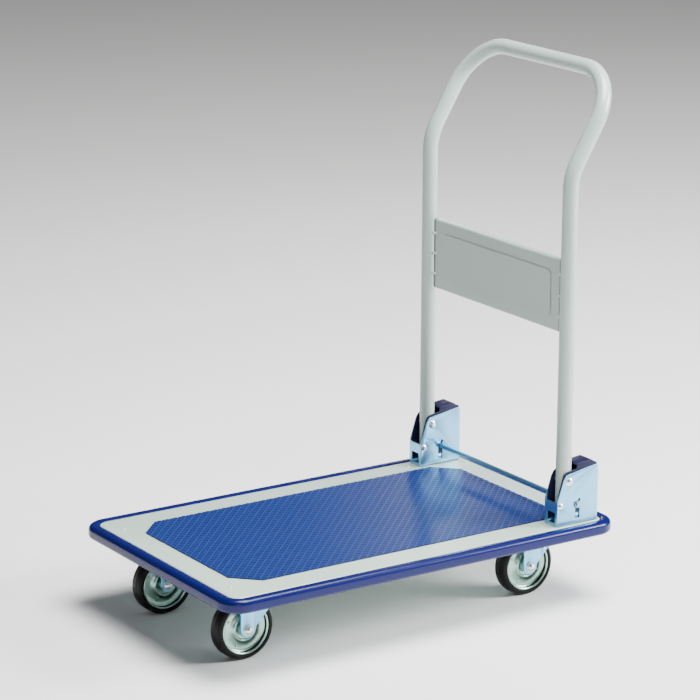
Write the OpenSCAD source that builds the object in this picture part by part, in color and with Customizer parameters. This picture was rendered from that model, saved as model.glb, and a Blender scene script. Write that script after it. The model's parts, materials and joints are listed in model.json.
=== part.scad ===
// Folding platform cart: a steel deck on four casters, with a push handle that
// folds down over the deck when the foot-operated lock rod is pressed.
// Millimetres.  +X points to the handle end, +Y to the cart's left, +Z up.
// The origin is on the floor, below the middle of the whole cart's outline.

/* [Deck] */
// Length of the steel deck plate
deck_l = 705; // [600:5:900]
// Width of the steel deck plate
deck_w = 425; // [360:5:560]
// Outer radius of the deck plate's corners
deck_r = 18.5; // [14:0.5:40]
// Thickness of the deck sheet
sheet_t = 1.6; // [1.2:0.1:2.4]
// Depth of the rim turned down around the deck
rim_h = 18; // [15:0.5:24]
// Depth of the stiffening channels under the deck
channel_h = 10.4; // [9:0.2:16]
// Sheet thickness of the channels
channel_t = 2; // [1.5:0.25:3]
// How far each cross channel reaches past the caster plates below it
channel_lap = 6; // [4:1:20]
// Width of the channel that runs along the middle
spine_w = 60; // [40:5:70]

/* [Edge bumper] */
// How far the bumper stands out from the deck plate
bumper_t = 18.5; // [14:0.5:26]
// Height of the bumper
bumper_h = 20.5; // [20:0.5:30]
// Radius of the bumper's lower edge
nose_r = 6; // [4:0.5:8]
// Height of the bumper's crest above the deck plate
crest_h = 1.2; // [0:0.2:1.6]
// Thickness of the lip that hooks under the rim
lip_t = 2; // [1.5:0.25:3]
// How far that lip reaches in under the rim
lip_w = 9; // [5:1:14]

/* [Top mat] */
// Bare border of the deck at either end of the anti-slip mat
mat_end = 42.5; // [20:0.5:80]
// Bare border of the deck on either side of the mat
mat_side = 47.5; // [45:0.5:70]
// Thickness of the mat
mat_t = 2; // [1:0.5:4]
// Length of the cut across each mat corner, along either side
mat_cut = 40; // [20:1:60]
// Radius of a corner rivet's head
rivet_r = 4; // [3:0.5:6]
// Height of a corner rivet's head
rivet_h = 1.6; // [1:0.2:3]

/* [Handle] */
// Distance of the handle's pivots from the deck plate's rear edge
pivot_inset = 69.5; // [64:0.5:110]
// Height of the pivots above the deck plate
pivot_h = 73; // [68:1:90]
// Distance of each handle tube from the deck plate's side edge
tube_inset = 21.5; // [21:0.5:25]
// Diameter of the handle tube
tube_d = 25.4; // [21:0.1:31]
// Wall of the handle tube
tube_wall = 1.5; // [1:0.1:2.5]
// Straight length of the tube above the pivot
stem_l = 474; // [400:5:600]
// Radius of the bend that leans the grip back
lean_r = 92; // [60:2:120]
// Angle of the lean
lean_a = 31; // [15:1:45]
// Straight length between the lean bend and the corner bend
reach_l = 67; // [40:1:120]
// Radius of the two corner bends
corner_r = 85; // [50:1:120]
// Length of the tube's tail below the pivot, at its front
tail_front = 43; // [42:0.5:46]
// Length of the tube's tail below the pivot, at its rear
tail_rear = 37.5; // [36:0.5:38]
// How far the handle folds, in degrees
fold_a = 96; // [80:1:96]

/* [Handle panel] */
// Height of the panel's lower edge above the pivot
panel_z = 241; // [150:1:300]
// Height of the panel
panel_h = 120; // [80:1:160]
// Sheet thickness of the panel
panel_t = 1.5; // [1:0.1:3]
// Depth of the panel's folded edges
hem_w = 9; // [6:0.5:14]
// Gap between the panel's ends and the tubes
panel_gap = 3; // [2:0.5:6]
// Margin of the raised field at the panel's ends
field_end = 27; // [15:1:50]
// Margin of the raised field above and below
field_edge = 22; // [15:1:30]
// Height of the raised field
field_t = 1.4; // [0.8:0.1:2]
// Radius of a weld bead
bead_r = 2.2; // [1.5:0.1:3]

/* [Brackets] */
// Gap between a stop pin and the band across the bracket's front
stop_gap = 0.2; // [0.2:0.1:3]
// Reach of a bracket behind the pivot
bracket_rear = 57.5; // [54:0.5:62]
// Height of a bracket's rear edge above the pivot
bracket_rise = 22; // [16:1:36]
// Depth below the pivot at which the sloping front edge starts
slope_drop = 30; // [18:1:33]
// Sheet thickness of the brackets
bracket_t = 2.3; // [1.5:0.1:3]
// Outer radius of the bend along a bracket's base
bend_r = 5; // [3.5:0.5:6]
// Lower edge of the band across the front
band_z = 23; // [18:1:28]
// Height of that band
band_h = 17; // [10:1:20]
// Radius of the pivot pins
pivot_r = 5; // [4:0.25:6]
// Radius of the stop pins
stop_r = 4; // [3:0.25:5]
// Depth of the stop pins below the pivot
stop_drop = 39; // [36:0.5:41]

/* [Guards] */
// Thickness of the plastic guards
guard_t = 1.5; // [1:0.1:2.5]
// How far a guard stands above its bracket's edge
guard_rise = 4; // [2:0.5:6]
// Height of the hood above the bracket's rear edge
hood_h = 10; // [6:0.5:14]

/* [Lock] */
// Radius of the lock rod
rod_r = 4; // [3.5:0.1:4.5]
// Depth of the lock rod below the pivot
rod_drop = 40; // [40:0.5:42]
// How far the lock rod drops while the handle folds
rod_travel = 18.4; // [17:0.1:18.4]
// Radius of the return springs
spring_r = 5; // [4:0.5:6]
// Wire diameter of the return springs
spring_wire = 1.2; // [0.8:0.1:1.6]

/* [Casters] */
// Diameter of the wheels
wheel_d = 100; // [80:5:125]
// Width of the tyres
wheel_w = 28; // [24:1:32]
// Height of the top of a caster's plate above its wheel
caster_head = 24; // [24:1:40]
// Distance of the front axles from the deck plate's front edge
front_inset = 69.5; // [67:0.5:150]
// Distance of the rear axles from the deck plate's rear edge
rear_inset = 93.5; // [91:0.5:170]
// Distance of the middle of each wheel from the deck plate's side edge
track_inset = 91.5; // [60:0.5:110]
// Distance from a wheel's axle to its caster's upright axis
trail = 30; // [22:1:34]
// Sheet thickness of the forks
fork_t = 2; // [1.5:0.1:3]
// How far the rib along each fork leg stands out
rib_t = 2.2; // [1.2:0.1:3]
// Half width of a fork leg at the axle
leg_r = 12.5; // [10:0.5:15]
// Length of a caster's plate
plate_l = 104; // [100:1:110]
// Width of a caster's plate
plate_w = 84; // [78:1:96]
// Thickness of a caster's plate
plate_t = 3; // [2:0.5:4]
// Distance of the bolts from the edges of a caster's plate
bolt_inset = 12; // [8:0.5:13]
// Radius of the plate's bolts
bolt_r = 4; // [3:0.5:5]
// Radius of the axles
axle_r = 6; // [5:0.25:7]
// Radius of the kingpins
king_r = 6; // [5:0.25:7]
// Thickness of the tyres outside their rims
tyre_t = 8; // [6.5:0.5:14]
// Radius of the wheel hubs
hub_r = 10.5; // [9:0.5:12]

/* [Fits] */
// Radial gap of a pin that turns in its hole
running = 0.05; // [0.03:0.01:0.08]
// Gap between bodies that move past each other
clear = 0.3; // [0.3:0.05:0.5]
// Radial gap of a bolt in its hole
bolt_gap = 0.5; // [0.2:0.1:1]

/* [Hidden] */
$fn = 64;

// Which side of the cart, and which end
left = 1;
right = -1;
front = 0;
rear = 1;

// Places along the cart from the middle of the deck, and across it from the middle
pivot_x = deck_l / 2 - pivot_inset;
front_axle = deck_l / 2 - front_inset;
rear_axle = deck_l / 2 - rear_inset;
tube_y = deck_w / 2 - tube_inset;
track_y = deck_w / 2 - track_inset;
mat_l = deck_l - 2 * mat_end;
mat_w = deck_w - 2 * mat_side;

// Places along the cart, measured from the origin
tube_r = tube_d / 2;
deck_half = deck_l / 2 + bumper_t;
grip_x = lean_r * (1 - cos(lean_a)) + (reach_l + corner_r) * sin(lean_a);
deck_x = (deck_half - (pivot_x + grip_x + tube_r)) / 2;
pin_x = deck_x + pivot_x;

// Heights above the floor
wheel_r = wheel_d / 2;
caster_h = wheel_d + caster_head;
deck_under = caster_h + channel_h;
deck_top = deck_under + sheet_t;
pin_z = deck_top + pivot_h;
bracket_h = pivot_h + bracket_rise;
slope_z = pivot_h - slope_drop;

// Across a bracket, from its middle outwards
guard_in = tube_r + clear + 0.2;
cheek_in = guard_in + guard_t + 0.1;
cheek_out = cheek_in + bracket_t;

// Across a wheel and its fork, from the middle outwards
hub_half = wheel_w / 2 + 1;
leg_in = hub_half + clear;
leg_mid = leg_in + fork_t;
leg_out = leg_mid + rib_t;

// Lock rod and stop pin, measured from the pivot
rod_x = tube_r + clear + rod_r;
stop_x = -(tube_r + clear + stop_r);
slot_gap = 0.4;

// Reach of a bracket in front of the pivot
bracket_front = stop_r + stop_gap + bracket_t - stop_x;

// A caster's plate and the channel above it
channel_w = plate_l + 2 * channel_lap;
bolt_x = plate_l - 2 * bolt_inset;
bolt_y = plate_w - 2 * bolt_inset;

function axle_x(end) = deck_x + (end == front ? -front_axle : rear_axle);
function upright_x(end) = axle_x(end) + trail;

// A cylinder along Y from y0 to y1
module rod_y(r, y0, y1) {
    translate([0, y0, 0]) rotate([-90, 0, 0]) cylinder(r = r, h = y1 - y0);
}

// An outline drawn in X and Z, given depth along Y from y0 to y1
module slab_y(y0, y1) {
    translate([0, y1, 0]) rotate([90, 0, 0]) linear_extrude(y1 - y0) children();
}

// A domed head on the Y axis that stands on y = 0 and points to +Y
module dome_y(r, h) {
    ball = (r * r + h * h) / (2 * h);
    rotate([-90, 0, 0])
        rotate_extrude() intersection() {
            translate([0, h - ball]) circle(ball);
            square([r, h]);
        }
}

// A plate with rounded corners that stands on z = 0
module round_plate(l, w, r, t) {
    linear_extrude(t) round_outline(l, w, r);
}

module round_outline(l, w, r) {
    square([l - 2 * r, w], center = true);
    square([l, w - 2 * r], center = true);
    for (sx = [-1, 1], sy = [-1, 1])
        translate([sx * (l / 2 - r), sy * (w / 2 - r)]) circle(r);
}

// ---- Deck ----

module deck_plate() {
    color("#c9d2c8") translate([deck_x, 0, deck_top - rim_h]) difference() {
        round_plate(deck_l, deck_w, deck_r, rim_h);
        translate([0, 0, -1]) round_plate(deck_l - 2 * sheet_t, deck_w - 2 * sheet_t,
            deck_r - sheet_t, rim_h - sheet_t + 1);
    }
}

// Section of the bumper: x outwards from the deck plate's edge, y up from its top
module bumper_section() {
    nose_x = bumper_t - nose_r;
    nose_y = nose_r - bumper_h;
    crest_r = min(8.5, bumper_t / 2 - 0.5);
    crest_x = bumper_t - crest_r;
    crest_y = crest_h - crest_r;
    translate([nose_x, nose_y]) circle(nose_r);
    translate([crest_x, crest_y]) circle(crest_r);
    polygon([[0, -bumper_h], [nose_x, -bumper_h], [bumper_t, nose_y],
        [bumper_t, crest_y], [crest_x, crest_h], [2, crest_h / 6], [0, -0.3]]);
    polygon([[0.1, -bumper_h], [0.1, -rim_h], [-lip_w, -rim_h],
        [-lip_w, -rim_h - lip_t], [-lip_w + lip_t, -bumper_h]]);
}

module bumper_corner() {
    rotate_extrude(angle = 90) translate([deck_r, 0]) bumper_section();
}

module bumper_side(run) {
    rotate([90, 0, 0]) linear_extrude(run) translate([deck_r, 0]) bumper_section();
}

module edge_bumper() {
    cx = deck_l / 2 - deck_r;
    cy = deck_w / 2 - deck_r;
    color("#2c4493") translate([deck_x, 0, deck_top]) {
        translate([cx, cy, 0]) bumper_corner();
        translate([-cx, cy, 0]) rotate([0, 0, 90]) bumper_corner();
        translate([-cx, -cy, 0]) rotate([0, 0, 180]) bumper_corner();
        translate([cx, -cy, 0]) rotate([0, 0, 270]) bumper_corner();
        translate([cx, cy, 0]) bumper_side(2 * cy);
        translate([-cx, cy, 0]) rotate([0, 0, 90]) bumper_side(2 * cx);
        translate([-cx, -cy, 0]) rotate([0, 0, 180]) bumper_side(2 * cy);
        translate([cx, -cy, 0]) rotate([0, 0, 270]) bumper_side(2 * cx);
    }
}

module top_mat() {
    l = mat_l / 2;
    w = mat_w / 2;
    c = mat_cut;
    color("#3f5f9e") translate([deck_x, 0, deck_top]) linear_extrude(mat_t)
        polygon([[l - c, w], [c - l, w], [-l, w - c], [-l, c - w],
            [c - l, -w], [l - c, -w], [l, c - w], [l, w - c]]);
}

// An open channel whose flat face is down, with its walls up against the deck
module channel(l, w) {
    translate([0, 0, channel_h / 2]) difference() {
        cube([l, w, channel_h], center = true);
        translate([0, 0, channel_t]) children();
    }
}

// Hole centres of a caster's plate
module at_bolts() {
    for (sx = [-1, 1], sy = [-1, 1])
        translate([sx * bolt_x / 2, sy * bolt_y / 2, 0]) children();
}

module cross_channel(end) {
    span = deck_w - 2 * sheet_t - 2 * lip_w - 2;
    color("#aab4ae") translate([upright_x(end), 0, caster_h]) difference() {
        channel(channel_w, span)
            cube([channel_w - 2 * channel_t, span + 1, channel_h], center = true);
        for (side = [left, right]) translate([0, side * track_y, -1]) {
            at_bolts() cylinder(r = bolt_r + bolt_gap, h = channel_h);
            cylinder(r = king_r + 7, h = channel_h);
        }
    }
}

module front_channel() { cross_channel(front); }
module rear_channel() { cross_channel(rear); }

module spine_channel() {
    x0 = upright_x(front) + channel_w / 2;
    x1 = upright_x(rear) - channel_w / 2;
    color("#aab4ae") translate([(x0 + x1) / 2, 0, caster_h])
        channel(x1 - x0, spine_w)
            cube([x1 - x0 + 1, spine_w - 2 * channel_t, channel_h], center = true);
}

// Domed rivets in the bare border of the deck, two of them in front of the brackets
module corner_rivets() {
    border = (deck_w - mat_w) / 4;
    spots = [[-deck_l / 2 + 24, mat_w / 2 - 3], [deck_l / 2 - 10, mat_w / 2 - 8],
        [pivot_x - bracket_front - 16, mat_w / 2 + border]];
    color("#d5dcd4") for (s = spots, side = [left, right])
        translate([deck_x + s[0], side * s[1], deck_top])
            rotate([90, 0, 0]) dome_y(rivet_r, rivet_h);
}

// ---- Brackets ----

// Radii of a cheek's corners, over the pivot and at the rear
eye_r = 13;
back_r = 5;

// Outline of a bracket's cheek: x from the pivot, y up from the deck, with
// the top edge raised by the given amount and tangent to both round corners
module cheek_outline(raise) {
    eye = [0, pivot_h + raise];
    back = [bracket_rear - back_r, bracket_h + raise - back_r];
    foot = [-bracket_front, slope_z] - eye;
    span = back - eye;
    slope_a = 360 + atan2(foot[1], foot[0]) - acos(eye_r / norm(foot));
    top_a = atan2(span[1], span[0]) + acos((eye_r - back_r) / norm(span));
    polygon([[-bracket_front, bend_r], [bracket_rear, bend_r], [bracket_rear, back[1]],
        back + back_r * [cos(top_a), sin(top_a)], eye + eye_r * [cos(top_a), sin(top_a)],
        eye + eye_r * [cos(slope_a), sin(slope_a)], [-bracket_front, slope_z]]);
    translate(eye) circle(eye_r);
    translate(back) circle(back_r);
}

// The slot in which the lock rod drops, with a slanting notch at its top
module rod_slot(extra) {
    r = rod_r + slot_gap + extra;
    z0 = pivot_h - rod_drop;
    translate([rod_x, z0]) circle(r);
    translate([rod_x - r, z0 - rod_travel - r]) square([2 * r, rod_travel + r]);
    translate([rod_x, z0]) rotate(-24) translate([-2, 0]) square([4, r + 6]);
}

// Cross-section of a bracket: x across the cart, y up from the deck
module bracket_section() {
    difference() {
        section_block(cheek_out, 0, bend_r);
        section_block(cheek_in, bracket_t, bend_r - bracket_t);
    }
}

module section_block(half, floor_z, r) {
    translate([-half + r, floor_z]) square([2 * (half - r), bracket_h]);
    translate([-half, floor_z + r]) square([2 * half, bracket_h]);
    for (s = [-1, 1]) translate([s * (half - r), floor_z + r]) circle(r);
}

module bracket(side) {
    span = bracket_front + bracket_rear;
    color("#b7d0dc") translate([pin_x, side * tube_y, deck_top]) difference() {
        union() {
            intersection() {
                translate([-bracket_front, 0, 0]) rotate([90, 0, 90])
                    linear_extrude(span) bracket_section();
                slab_y(-cheek_out - 1, cheek_out + 1) union() {
                    cheek_outline(0);
                    translate([-bracket_front, -1]) square([span, bend_r + 1.01]);
                }
            }
            translate([-bracket_front, -cheek_in - 0.5, 0]) difference() {
                cube([bracket_t, 2 * cheek_in + 1, band_z + band_h]);
                translate([-1, 5, bend_r + 1])
                    cube([bracket_t + 2, 2 * cheek_in - 9, band_z - bend_r - 1]);
            }
        }
        slab_y(-cheek_out - 1, cheek_out + 1) rod_slot(0);
        translate([0, 0, pivot_h]) rod_y(pivot_r, -cheek_out - 1, cheek_out + 1);
        translate([stop_x, 0, pivot_h - stop_drop])
            rod_y(stop_r, -cheek_out - 1, cheek_out + 1);
        at_screws() cylinder(r = screw_r + 0.3, h = 2 * bracket_t + 2, center = true);
    }
}

// A plastic lining that covers both cheeks, closes the back and hoods the top
module guard(side) {
    back_x = bracket_rear - 1;
    hood_x = tube_r + 3;
    hood_z = bracket_h + hood_h;
    color("#2b3474") translate([pin_x, side * tube_y, deck_top]) difference() {
        union() {
            for (s = [-1, 1]) slab_y(min(s * guard_in, s * (guard_in + guard_t)),
                max(s * guard_in, s * (guard_in + guard_t))) {
                difference() {
                    cheek_outline(guard_rise);
                    translate([-bracket_front - 1, 0])
                        square([bracket_front + back_x + 3, bend_r + 2]);
                    translate([back_x, 0]) square([4, bracket_h + hood_h]);
                    translate([-bracket_front - 1, 0])
                        square([bracket_t + 1.3, bracket_h]);
                }
                hood_outline(hood_x, back_x, hood_z, 0);
            }
            translate([back_x - guard_t, -guard_in - 0.05, 20])
                cube([guard_t, 2 * guard_in + 0.1, hood_z - 28]);
            slab_y(-guard_in - guard_t, guard_in + guard_t) difference() {
                hood_outline(hood_x, back_x, hood_z, 0);
                hood_outline(hood_x - 1, back_x - guard_t, hood_z - guard_t, 4);
            }
        }
        slab_y(-guard_in - guard_t - 1, guard_in + guard_t + 1) rod_slot(0.3);
        translate([0, 0, pivot_h])
            rod_y(pivot_r + 0.3, -guard_in - guard_t - 1, guard_in + guard_t + 1);
        translate([stop_x, 0, pivot_h - stop_drop])
            rod_y(stop_r + 0.3, -guard_in - guard_t - 1, guard_in + guard_t + 1);
    }
}

// Side view of the hood, whose lower edge drops by the given amount
module hood_outline(x0, x1, z1, drop) {
    z0 = bracket_h - 12 - drop;
    polygon([[x0, z0], [x1, z0], [x1, z1 - 9], [x1 - 12, z1 - 1], [x0 + 2, z1 - 4],
        [x0, z1 - 6]]);
}

// A riveted pin across a bracket, with a domed head on either side
module bracket_pin(side, x, z, r, head_r) {
    color("#dfe8ea") translate([pin_x + x, side * tube_y, deck_top + z]) {
        rod_y(r, -cheek_out, cheek_out);
        translate([0, cheek_out, 0]) dome_y(head_r, head_r * 0.4);
        mirror([0, 1, 0]) translate([0, cheek_out, 0]) dome_y(head_r, head_r * 0.4);
    }
}

module pivot_pin(side) { bracket_pin(side, 0, pivot_h, pivot_r, pivot_r + 2.5); }
module stop_pin(side) { bracket_pin(side, stop_x, pivot_h - stop_drop, stop_r, stop_r + 2); }

// Screws through a bracket's base, one before and one behind the spring
screw_r = 3;
module at_screws() {
    for (x = [-9, rod_x + 22]) translate([x, 0, 0]) children();
}

module bracket_screws() {
    color("#8f979a") for (side = [left, right])
        translate([pin_x, side * tube_y, deck_top]) at_screws() {
            translate([0, 0, bracket_t]) rotate([90, 0, 0]) dome_y(screw_r + 2.5, 2.6);
            cylinder(r = screw_r, h = bracket_t);
        }
}

// ---- Lock ----

rod_z = pin_z - rod_drop;

module lock_rod() {
    half = tube_y + cheek_out + 4;
    color("#dfe9ec") translate([pin_x + rod_x, 0, rod_z]) rod_y(rod_r, -half, half);
}

// Spring clips that hold the rod endways, just outside the brackets
module rod_clips() {
    y0 = tube_y + cheek_out + 0.6;
    color("#9aa3a6") translate([pin_x + rod_x, 0, rod_z])
        for (s = [-1, 1]) difference() {
            rod_y(rod_r + 2, min(s * y0, s * (y0 + 1)), max(s * y0, s * (y0 + 1)));
            rod_y(rod_r, -y0 - 2, y0 + 2);
        }
}

// A coil spring between a bracket's base and the rod
spring_turns = 5;
spring_sides = 8;
spring_steps = 18;

module rod_spring(side) {
    z0 = deck_top + bracket_t + spring_wire / 2 + 0.1;
    z1 = rod_z - rod_r - spring_wire / 2 - 0.2;
    n = spring_turns * spring_steps;
    rings = [for (i = [0:n]) let (a = 360 * i / spring_steps, z = z0 + (z1 - z0) * i / n)
        [for (k = [0:spring_sides - 1]) let (b = 360 * k / spring_sides,
            q = spring_r + spring_wire / 2 * cos(b))
            [q * cos(a), q * sin(a), z + spring_wire / 2 * sin(b)]]];
    points = [for (ring = rings) each ring];
    sides = [for (i = [0:n - 1], k = [0:spring_sides - 1])
        let (a = i * spring_sides, j = (k + 1) % spring_sides)
        [a + k, a + spring_sides + k, a + spring_sides + j, a + j]];
    ends = [[for (k = [0:spring_sides - 1]) k],
        [for (k = [spring_sides - 1:-1:0]) n * spring_sides + k]];
    color("#b9c2c4") translate([pin_x + rod_x, side * tube_y, 0])
        polyhedron(points, concat(sides, ends));
}

// ---- Handle ----

// One side of the handle, from the end of its tail to the corner
module handle_side(r, from_z) {
    translate([0, 0, from_z]) cylinder(r = r, h = stem_l - from_z);
    translate([lean_r, 0, stem_l]) rotate([90, 0, 180])
        rotate_extrude(angle = lean_a) translate([lean_r, 0]) circle(r);
    in_lean() {
        cylinder(r = r, h = reach_l);
        translate([0, -corner_r, reach_l]) rotate([90, 0, 90])
            rotate_extrude(angle = 90) translate([corner_r, 0]) circle(r);
    }
}

// Moves its children to the top of the lean bend
module in_lean() {
    translate([lean_r * (1 - cos(lean_a)), 0, stem_l + lean_r * sin(lean_a)])
        rotate([0, lean_a, 0]) children();
}

module handle_bar(r, from_z) {
    for (side = [left, right]) mirror([0, side == right ? 1 : 0, 0])
        translate([0, tube_y, 0]) handle_side(r, from_z);
    in_lean() translate([0, 0, reach_l + corner_r])
        rod_y(r, corner_r - tube_y, tube_y - corner_r);
}

module handle_tube() {
    cut_a = atan((tail_front - tail_rear) / tube_d);
    color("#b4bfbc") translate([pin_x, 0, pin_z]) difference() {
        handle_bar(tube_r, -tail_front);
        handle_bar(tube_r - tube_wall, -tail_front - 1);
        translate([-tube_r, 0, -tail_front]) rotate([0, -cut_a, 0])
            translate([-5, -tube_y - tube_d, -20]) cube([50, 2 * tube_y + 2 * tube_d, 20]);
        for (side = [left, right]) translate([0, side * tube_y, 0])
            rod_y(bush_r, -tube_d, tube_d);
    }
}

// Side view of the panel: a sheet whose upper and lower edges turn back
module panel_section() {
    r = 4;
    difference() {
        hem_block(hem_w, panel_h, r);
        translate([panel_t, panel_t]) hem_block(hem_w, panel_h - 2 * panel_t, r - panel_t);
    }
}

module hem_block(w, h, r) {
    translate([r, 0]) square([w - r, h]);
    translate([0, r]) square([r, h - 2 * r]);
    for (z = [r, h - r]) translate([r, z]) circle(r);
}

// Height of the lowest weld beads, and the step to the next, as shares of the panel's
bead_low = 0.21;
bead_step = 0.29;

module handle_panel() {
    half = tube_y - tube_r - panel_gap;
    color("#a3aeac") translate([pin_x - panel_t, 0, pin_z + panel_z]) {
        slab_y(-half, half) intersection() {
            panel_section();
            square([hem_w, panel_h]);
        }
        translate([0, 0, panel_h / 2]) rotate([0, -90, 0]) translate([0, 0, -0.01])
            round_plate(panel_h - 2 * field_edge, 2 * (half - field_end), 8, field_t);
        for (side = [left, right], k = [0:2])
            translate([panel_t / 2, 0, panel_h * (bead_low + bead_step * k)])
                rod_y(bead_r, min(side * (half - 4), side * (half + panel_gap + 1)),
                    max(side * (half - 4), side * (half + panel_gap + 1)));
    }
}

// Nylon sleeves in the handle tube that turn on the pivot pins
bush_r = pivot_r + 2;
module pivot_bushes() {
    color("#e9e6da") for (side = [left, right])
        translate([pin_x, side * tube_y, pin_z]) difference() {
            rod_y(bush_r, -tube_r, tube_r);
            rod_y(pivot_r + running, -tube_d, tube_d);
        }
}

// ---- Casters ----

// Side view of a fork leg: x from the axle, y up from it
module leg_outline(top) {
    flare = trail + 28;
    circle(leg_r);
    polygon([[-leg_r, 0], [leg_r, 0], [flare, wheel_r - 2], [flare, top], [-leg_r, top]]);
}

module rib_outline(top) {
    circle(leg_r);
    translate([-leg_r, 0]) square([2 * leg_r, top]);
}

// Both legs of a fork, with the holes for the axle
module fork_legs(top) {
    for (s = [-1, 1]) mirror([0, s < 0 ? 1 : 0, 0]) difference() {
        union() {
            slab_y(leg_in, leg_mid) leg_outline(top);
            slab_y(leg_mid - 0.01, leg_out) rib_outline(top);
        }
        rod_y(axle_r, 0, 2 * leg_out);
    }
}

// A fork that is one piece with its plate and doesn't swivel
module rigid_fork(side) {
    top = caster_h - plate_t - wheel_r;
    color("#b3c8cb") translate([axle_x(front), side * track_y, wheel_r]) {
        fork_legs(top);
        translate([trail, 0, top]) difference() {
            round_plate(plate_l, plate_w, 8, plate_t);
            translate([0, 0, -1]) at_bolts() cylinder(r = bolt_r + bolt_gap, h = plate_t + 2);
        }
    }
}

crown_top = caster_h - plate_t - 7;
crown_r = 29;

module swivel_fork(side) {
    top = crown_top - wheel_r;
    color("#b3c8cb") translate([axle_x(rear), side * track_y, wheel_r]) {
        fork_legs(top - fork_t + 0.01);
        translate([trail, 0, top - fork_t]) difference() {
            union() {
                cylinder(r = crown_r, h = fork_t);
                translate([-trail - leg_r, -leg_mid, 0])
                    cube([trail + leg_r, 2 * leg_mid, fork_t]);
            }
            translate([0, 0, -1]) cylinder(r = king_r + running, h = fork_t + 2);
        }
    }
}

race_r = 19;
ball_r = 2.4;

// The fixed plate of a swivel caster, with its ball track and dust skirt below
module swivel_plate(side) {
    color("#b3c8cb") translate([upright_x(rear), side * track_y, caster_h - plate_t])
        difference() {
            union() {
                round_plate(plate_l, plate_w, 8, plate_t);
                translate([0, 0, -2]) cylinder(r = race_r + 4, h = 2.01);
                translate([0, 0, -5]) cylinder(r = crown_r - 2, h = 5.01);
            }
            translate([0, 0, -6]) difference() {
                cylinder(r = crown_r - 3.5, h = 6);
                translate([0, 0, 4]) cylinder(r = race_r + 4, h = 3);
            }
            translate([0, 0, -10]) cylinder(r = king_r, h = 20);
            translate([0, 0, -1]) at_bolts() cylinder(r = bolt_r + bolt_gap, h = plate_t + 2);
        }
}

module kingpin(side) {
    nut_z = crown_top - fork_t - clear;
    color("#9fa8aa") translate([upright_x(rear), side * track_y, 0]) {
        translate([0, 0, nut_z - 5]) cylinder(r = king_r, h = caster_h - nut_z + 5);
        translate([0, 0, caster_h]) cylinder(r = king_r + 5, h = 3);
        translate([0, 0, nut_z]) mirror([0, 0, 1]) cylinder(r = king_r + 3, h = 5, $fn = 6);
    }
}

module race_balls(side) {
    color("#c8cdd0") translate([upright_x(rear), side * track_y, crown_top + ball_r - 0.1])
        for (k = [0:13]) rotate([0, 0, k * 360 / 14]) translate([race_r, 0, 0])
            sphere(ball_r, $fn = 24);
}

module plate_bolts() {
    under = caster_h - plate_t;
    color("#9aa2a4") for (end = [front, rear], side = [left, right])
        translate([upright_x(end), side * track_y, 0]) at_bolts() {
            translate([0, 0, under - 4.5]) cylinder(r = bolt_r + 3.2, h = 4.5, $fn = 6);
            translate([0, 0, under - 0.01]) cylinder(r = bolt_r, h = plate_t + channel_t + 7);
            translate([0, 0, caster_h + channel_t])
                cylinder(r = bolt_r + 3.2, h = 5.5, $fn = 6);
        }
}

// ---- Wheels ----

// Moves its children to the middle of a wheel
module at_wheel(end, side) {
    translate([axle_x(end), side * track_y, wheel_r]) children();
}

// Turns an outline of radius and width about the wheel's axle
module turned() {
    rotate([-90, 0, 0]) rotate_extrude($fn = 96) children();
}

module axle(end, side) {
    color("#a9c0c6") at_wheel(end, side) {
        rod_y(axle_r, -leg_out, leg_out);
        for (s = [-1, 1]) mirror([0, s < 0 ? 1 : 0, 0]) {
            rod_y(axle_r + 2.5, leg_out, leg_out + 2);
            translate([0, leg_out + 2, 0]) dome_y(axle_r + 1.5, 4.5);
        }
    }
}

// A point on the outer surface of a pressed rim half, as radius and distance from
// the middle, from its share of the way from hub to tyre and its depth
rim_t = 1.5;
rim_r = wheel_r - tyre_t;
rim_edge = wheel_w / 2 - 0.6;
function dish(share, depth) = [hub_r + share * (rim_r - hub_r), rim_edge - depth];
rim_face = [dish(0, 5), dish(0.25, 4.6), dish(0.3, 2.2), dish(0.41, 2.2), dish(0.49, 7),
    dish(0.71, 6.4), dish(0.84, 1.2), dish(0.92, 0), dish(1, 0.4)];

// The solid rubber tyre, whose foot fills the space between the rim halves
module tyre(end, side) {
    half = wheel_w / 2;
    shoulder = min(6, tyre_t - 1);
    flank = concat([for (i = [6:8]) rim_face[i] - [0, rim_t]], [[rim_r, half]],
        [for (a = [90:-15:0])
            [wheel_r - shoulder, half - shoulder] + shoulder * [cos(a), sin(a)]]);
    color("#1d1d1f") at_wheel(end, side) turned()
        polygon(concat(flank, [for (i = [len(flank) - 1:-1:0]) [flank[i][0], -flank[i][1]]]));
}

module rim_half(end, side, s) {
    n = len(rim_face);
    color("#a9bcc0") at_wheel(end, side) mirror([0, s < 0 ? 1 : 0, 0]) turned()
        polygon(concat(rim_face,
            [for (i = [n - 1:-1:0]) rim_face[i] - [0, rim_t]]));
}

module rim_outer(end, side) { rim_half(end, side, side); }
module rim_inner(end, side) { rim_half(end, side, -side); }

// A turned hub with a shoulder between the rim halves
module hub(end, side) {
    shoulder_y = rim_face[0][1] - rim_t;
    color("#8d9ea3") at_wheel(end, side) difference() {
        union() {
            rod_y(hub_r, -hub_half, hub_half);
            rod_y(hub_r + 3, -shoulder_y, shoulder_y);
        }
        rod_y(axle_r + running, -wheel_w, wheel_w);
    }
}

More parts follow.
